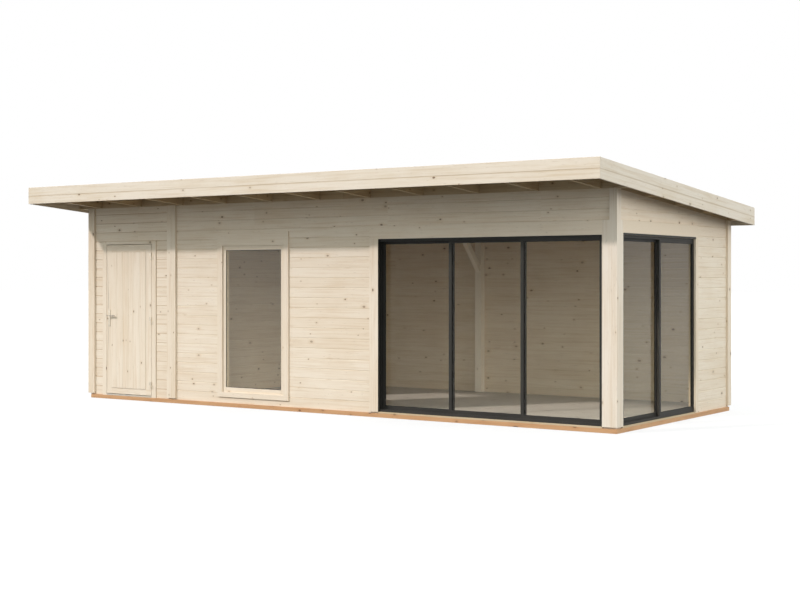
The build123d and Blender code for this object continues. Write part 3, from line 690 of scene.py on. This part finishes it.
def roofBoards(values):
    random.seed(values["seed"])
    work = bmesh.new()
    low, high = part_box("roof_deck")
    thick = high.z - low.z - roofFall * (high.y - low.y)
    step = (high.y - low.y) / values["rows"]
    inset = values["gap"] / 2
    for i in range(values["rows"]):
        y0, y1 = low.y + i * step + inset, low.y + (i + 1) * step - inset
        # boards join on every other rafter, rows in turn
        joints = rafterPlaces[2:-2:2] if i % 2 else rafterPlaces[1:-1:2]
        cuts = [low.x] + sorted(random.sample(joints, values["cuts"])) + [high.x]
        for x0, x1 in zip(cuts, cuts[1:]):
            addBoard(work, (x0 + inset, y0, 0), (x1 - inset, y1, thick))
    bmesh.ops.bevel(work, geom=work.edges[:], offset=values["chamfer"], segments=1, affect="EDGES")
    for vertex in work.verts:
        vertex.co.z += high.z - thick - roofFall * (vertex.co.y - low.y)
    finishPiece(work, "roofBoards", "house", "deckWood", ["roof_deck"])


roofBoards(deckValues)


# roofing felt in four lapped lengths
feltValues = {"strips": 4, "lap": 0.09, "thick": 0.0032, "steps": (90, 10), "wave": 0.0007, "seed": 11,
              "phaseSpan": 6, "lapLift": 1.15, "sink": 0.0012, "edgeSteps": 8,
              "longWave": (5.1, 7), "shortWave": (13, 3), "shortShare": 0.6}


def feltStrips(values):
    random.seed(values["seed"])
    low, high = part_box("roof_felt")
    width = (high.y - low.y) / values["strips"]
    along, over = values["steps"]
    lap, thick = values["lap"], values["thick"]
    longX, longY = values["longWave"]
    shortX, shortY = values["shortWave"]
    for i in range(values["strips"]):
        work = bmesh.new()
        yHigh = high.y - i * width + (lap if i else 0)
        yLow = high.y - (i + 1) * width
        phase = random.uniform(0, values["phaseSpan"])
        grid = []
        for b in range(over + 1):
            y = yLow + (yHigh - yLow) * b / over
            climb = max(0.0, min(1.0, (y - (yHigh - 2 * lap)) / lap))  # up onto the strip laid before
            lift = thick * values["lapLift"] * climb if i else 0
            line = []
            for a in range(along + 1):
                x = low.x + (high.x - low.x) * a / along
                wave = math.sin(x * longX + phase) * math.sin(y * longY + phase)
                wave += values["shortShare"] * math.sin(x * shortX + y * shortY)
                edge = min(1.0, values["edgeSteps"] * min(a, along - a) / along)
                z = high.z - values["sink"] - roofFall * (y - low.y) + lift + values["wave"] * wave * edge
                line.append(work.verts.new((x, y, z)))
            grid.append(line)
        for b in range(over):
            for a in range(along):
                work.faces.new((grid[b][a], grid[b][a + 1], grid[b + 1][a + 1], grid[b + 1][a]))
        name = "feltStrip%d" % (i + 1)
        strip = finishPiece(work, name, "house", "mineralFelt", ["roof_felt"])
        body = strip.modifiers.new("thickness", "SOLIDIFY")
        body.thickness = thick
        body.offset = -1
        for face in strip.data.polygons:
            face.use_smooth = True


feltStrips(feltValues)


# nails in the boards; rises are heights above a fascia's foot
nailValues = {
    "radius": 0.0026,
    "frontRises": (0.022, 0.075, 0.117), "frontHead": 0.024, "backInset": 0.03,
    "gableRises": (0.022, 0.075, 0.117, 0.176),
    "gablePlaces": (-1.93, -1.18, -0.46, 0.26, 0.98, 1.79, 1.93),
    "boardStep": 0.42, "boardFirst": 0.09, "boardEnds": 0.3, "farShare": 0.94,
    "cornerInsets": (0.02, 0.088), "partitionPlaces": (-2.3015, -2.2215),
    "leftPlaces": (-1.113, 1.735), "rightPlace": 1.735,
    "casingRows": 5, "casingFirst": 0.15, "casingEnds": 0.35, "casingInset": 0.028,
    "casingColumns": 4, "casingSide": 0.06, "casingFoot": 0.03, "casingHead": 0.07,
}
# screws of the hinges and the back plates
screwValues = {
    "radius": 0.0042, "spread": (-0.012, 0.012), "face": -1.180,
    "frameHeights": (0.178, 0.975, 1.768), "frameX": -2.586,
    "leafHeights": (0.222, 1.017, 1.812), "leafX": -2.626,
    "plateHeights": (0.925, 1.112), "plateX": -3.3355, "plateFront": -1.183, "plateBack": -1.131,
}
ahead, behind, leftward, rightward = (0, -1, 0), (0, 1, 0), (-1, 0, 0), (1, 0, 0)


def hingeScrews(work, values, x, heights):
    for z in heights:
        for rise in values["spread"]:
            addHead(work, (x, values["face"], z + rise), ahead, values["radius"], True)


def nailHeads(values, screws):
    work = bmesh.new()
    radius = values["radius"]
    low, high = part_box("front_fascia")
    heights = [low.z + rise for rise in values["frontRises"]] + [high.z - values["frontHead"]]
    for x in rafterPlaces:
        for z in heights:
            addHead(work, (x, low.y, z), ahead, radius)
    backLow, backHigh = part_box("back_fascia")
    for x in rafterPlaces:
        for z in (backLow.z + values["backInset"], backHigh.z - values["backInset"]):
            addHead(work, (x, backHigh.y, z), behind, radius)
    sideLow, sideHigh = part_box("side_fascias")
    for y in values["gablePlaces"]:
        foot = low.z - roofFall * (y - low.y)
        for rise in values["gableRises"]:
            addHead(work, (sideHigh.x, y, foot + rise), rightward, radius)
            addHead(work, (sideLow.x, y, foot + rise), leftward, radius)
    low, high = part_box("cover_boards")
    leftBoard = [low.x + inset for inset in values["cornerInsets"]]
    rightBoard = [high.x - inset for inset in values["cornerInsets"]]
    count = int((high.z - low.z - values["boardEnds"]) / values["boardStep"])
    for i in range(count + 1):
        z = low.z + values["boardFirst"] + i * values["boardStep"]
        for x in (*leftBoard, *values["partitionPlaces"]):
            addHead(work, (x, low.y, z), ahead, radius)
        z *= values["farShare"]  # the boards at the back are shorter
        for x in leftBoard + rightBoard:
            addHead(work, (x, high.y, z), behind, radius)
        for y in values["leftPlaces"]:
            addHead(work, (low.x, y, z), leftward, radius)
        addHead(work, (high.x, values["rightPlace"], z), rightward, radius)
    low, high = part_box("window_casing")
    step = (high.z - low.z - values["casingEnds"]) / (values["casingRows"] - 1)
    for i in range(values["casingRows"]):
        for x in (low.x + values["casingInset"], high.x - values["casingInset"]):
            addHead(work, (x, low.y, low.z + values["casingFirst"] + i * step), ahead, radius)
    step = (high.x - low.x - 2 * values["casingSide"]) / (values["casingColumns"] - 1)
    for i in range(values["casingColumns"]):
        for z in (low.z + values["casingFoot"], high.z - values["casingHead"]):
            addHead(work, (low.x + values["casingSide"] + i * step, low.y, z), ahead, radius)
    hingeScrews(work, screws, screws["frameX"], screws["frameHeights"])
    finishPiece(work, "nailHeads", "house", "brushedSteel")
    work = bmesh.new()
    hingeScrews(work, screws, screws["leafX"], screws["leafHeights"])
    for z in screws["plateHeights"]:
        addHead(work, (screws["plateX"], screws["plateFront"], z), ahead, screws["radius"], True)
        addHead(work, (screws["plateX"], screws["plateBack"], z), behind, screws["radius"], True)
    finishPiece(work, "doorScrews", "store_door", "brushedSteel")


nailHeads(nailValues, screwValues)


# a soft rubber lip on each face of the sliding doors' panes; lip and slant are shares of width and depth
gasketValues = {"width": 0.004, "depth": 0.005, "lip": 0.45, "slant": 0.3}
# each sliding pane, the body it rides on and whether it is in the side wall
slidingPanes = [("front_middle_glass", "front_middle_panel", False),
                ("front_right_glass", "front_right_panel", False), ("side_glass", "side_panel", True)]


def gasket(work, values, side, span, rise, faces):
    width, depth = values["width"], values["depth"]
    for face, other in (faces, faces[::-1]):
        out = math.copysign(depth, face - other)
        addFrame(work, side, *span, *rise, [(0, face), (0, face + out), (width * values["lip"], face + out),
                                            (width, face + out * values["slant"]), (width, face)])


def glassGaskets(values):
    sash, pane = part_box("front_middle_sash"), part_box("front_middle_glass")
    nextPane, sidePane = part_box("front_right_glass"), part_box("side_glass")
    stile = pane[0].x - sash[0].x
    channel = pane[0].y - nextPane[0].y
    rise = (pane[0].z, pane[1].z)
    work = bmesh.new()
    span = (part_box("fixed_sashes")[0].x + stile, sash[0].x)
    gasket(work, values, False, span, rise, (pane[0].y + channel, pane[1].y + channel))
    start, stop = (corner.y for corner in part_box("side_sash"))
    span = (start - (stop - start - stile) + stile, start)
    gasket(work, values, True, span, rise, (sidePane[0].x - channel, sidePane[1].x - channel))
    finishPiece(work, "fixedGaskets", "house", "gasketRubber")
    for name, body, side in slidingPanes:
        low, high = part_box(name)
        work = bmesh.new()
        if side:
            gasket(work, values, True, (low.y, high.y), rise, (low.x, high.x))
        else:
            gasket(work, values, False, (low.x, high.x), rise, (low.y, high.y))
        finishPiece(work, name + "Gasket", body, "gasketRubber")


glassGaskets(gasketValues)


# the fixed window's rubber seal outside and timber bead inside, as (inset, depth) points
windowValues = {
    "opening": (-1.3915, -0.5495, 0.232, 1.853),
    "seal": [(0, -1.155), (0, -1.160), (0.0045, -1.160), (0.006, -1.157), (0.006, -1.155)],
    "bead": [(0, -1.147), (0, -1.118), (0.002, -1.118), (0.005, -1.138), (0.005, -1.147)],
}


def windowBeads(values):
    work = bmesh.new()
    addFrame(work, False, *values["opening"], values["seal"])
    finishPiece(work, "windowGasket", "house", "gasketRubber")
    work = bmesh.new()
    addFrame(work, False, *values["opening"], values["bead"])
    finishPiece(work, "windowBeads", "house", "windowWood")


windowBeads(windowValues)


# the flat cover strip over the head of the side slider
stripValues = {"height": 0.021, "thick": 0.0025, "chamfer": 0.0006}


def headStrip(values):
    work = bmesh.new()
    lintel, rail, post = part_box("glazing_lintels"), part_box("side_slider_frame"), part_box("corner_post")
    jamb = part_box("slider_sills")[1].y
    addBoard(work, (lintel[1].x, post[1].y, rail[1].z),
             (lintel[1].x + values["thick"], jamb, rail[1].z + values["height"]))
    finishPiece(work, "headStrip", "house", "coatedAluminium", chamfer=values["chamfer"])


headStrip(stripValues)
print("pieces made")


# floor, light and world
stageValues = {
    "floorHalf": 120, "floorBounce": 0.10, "floorWhite": 0.95, "whiteShare": 0.80,
    "sky": 1.24, "skyTint": (0.90, 0.958, 0.95, 1),
    "key": {"travel": (0.49, 0.82, -0.604), "strength": 1.93, "angle": 3, "tint": (0.98, 0.90, 0.905)},
    "fill": {"travel": (-0.86, 0.16, -0.26), "strength": 0.91, "angle": 30, "tint": (1, 0.96, 0.97)},
}


def seenRays(tree):  # rays that show the ground and the sky, straight, mirrored or through a pane
    rays = tree.nodes.new("ShaderNodeLightPath").outputs
    seen = calc(tree, "MAXIMUM", rays["Is Camera Ray"], rays["Is Glossy Ray"])
    return calc(tree, "MAXIMUM", seen, rays["Is Transmission Ray"])


def grey(level):
    return (level, level, level, 1)


def studioGround(values):
    half = values["floorHalf"]
    corners = [(-half, -half, 0), (half, -half, 0), (half, half, 0), (-half, half, 0)]
    mesh = bpy.data.meshes.new("studioFloor")
    mesh.from_pydata(corners, [], [(0, 1, 2, 3)])
    studioFloor = bpy.data.objects.new("studioFloor", mesh)
    bpy.context.scene.collection.objects.link(studioFloor)
    paint = bpy.data.materials.new("studioFloor")
    paint.use_nodes = True
    tree = paint.node_tree
    tree.nodes.clear()
    seen = seenRays(tree)
    matt = tree.nodes.new("ShaderNodeBsdfDiffuse")
    tint = blend(tree, seen, grey(values["floorBounce"]), grey(values["floorWhite"]))
    wire(tree, tint, matt.inputs["Color"])
    glow = tree.nodes.new("ShaderNodeEmission")
    mixed = tree.nodes.new("ShaderNodeMixShader")
    wire(tree, calc(tree, "MULTIPLY", seen, values["whiteShare"]), mixed.inputs[0])
    wire(tree, matt.outputs[0], mixed.inputs[1])
    wire(tree, glow.outputs[0], mixed.inputs[2])
    wire(tree, mixed.outputs[0], tree.nodes.new("ShaderNodeOutputMaterial").inputs["Surface"])
    mesh.materials.append(paint)


def sun(name, travel, strength, angle, tint):
    lamp = bpy.data.lights.new(name, "SUN")
    lamp.energy = strength
    lamp.angle = math.radians(angle)
    lamp.color = tint
    holder = bpy.data.objects.new(name, lamp)
    holder.rotation_euler = Vector(travel).to_track_quat("-Z", "Y").to_euler()
    bpy.context.scene.collection.objects.link(holder)


def studioSky(values):
    world = bpy.data.worlds.new("studioWorld")
    bpy.context.scene.world = world
    world.use_nodes = True
    tree = world.node_tree
    tree.nodes.clear()
    seen = seenRays(tree)
    back = tree.nodes.new("ShaderNodeBackground")
    wire(tree, blend(tree, seen, values["skyTint"], grey(1)), back.inputs["Color"])
    wire(tree, ease(tree, seen, 0.0, 1.0, values["sky"], 1.0), back.inputs["Strength"])
    wire(tree, back.outputs[0], tree.nodes.new("ShaderNodeOutputWorld").inputs["Surface"])


studioGround(stageValues)
sun("keySun", **stageValues["key"])
sun("fillSun", **stageValues["fill"])
studioSky(stageValues)
bpy.context.scene.view_settings.view_transform = "Standard"
print("stage set")
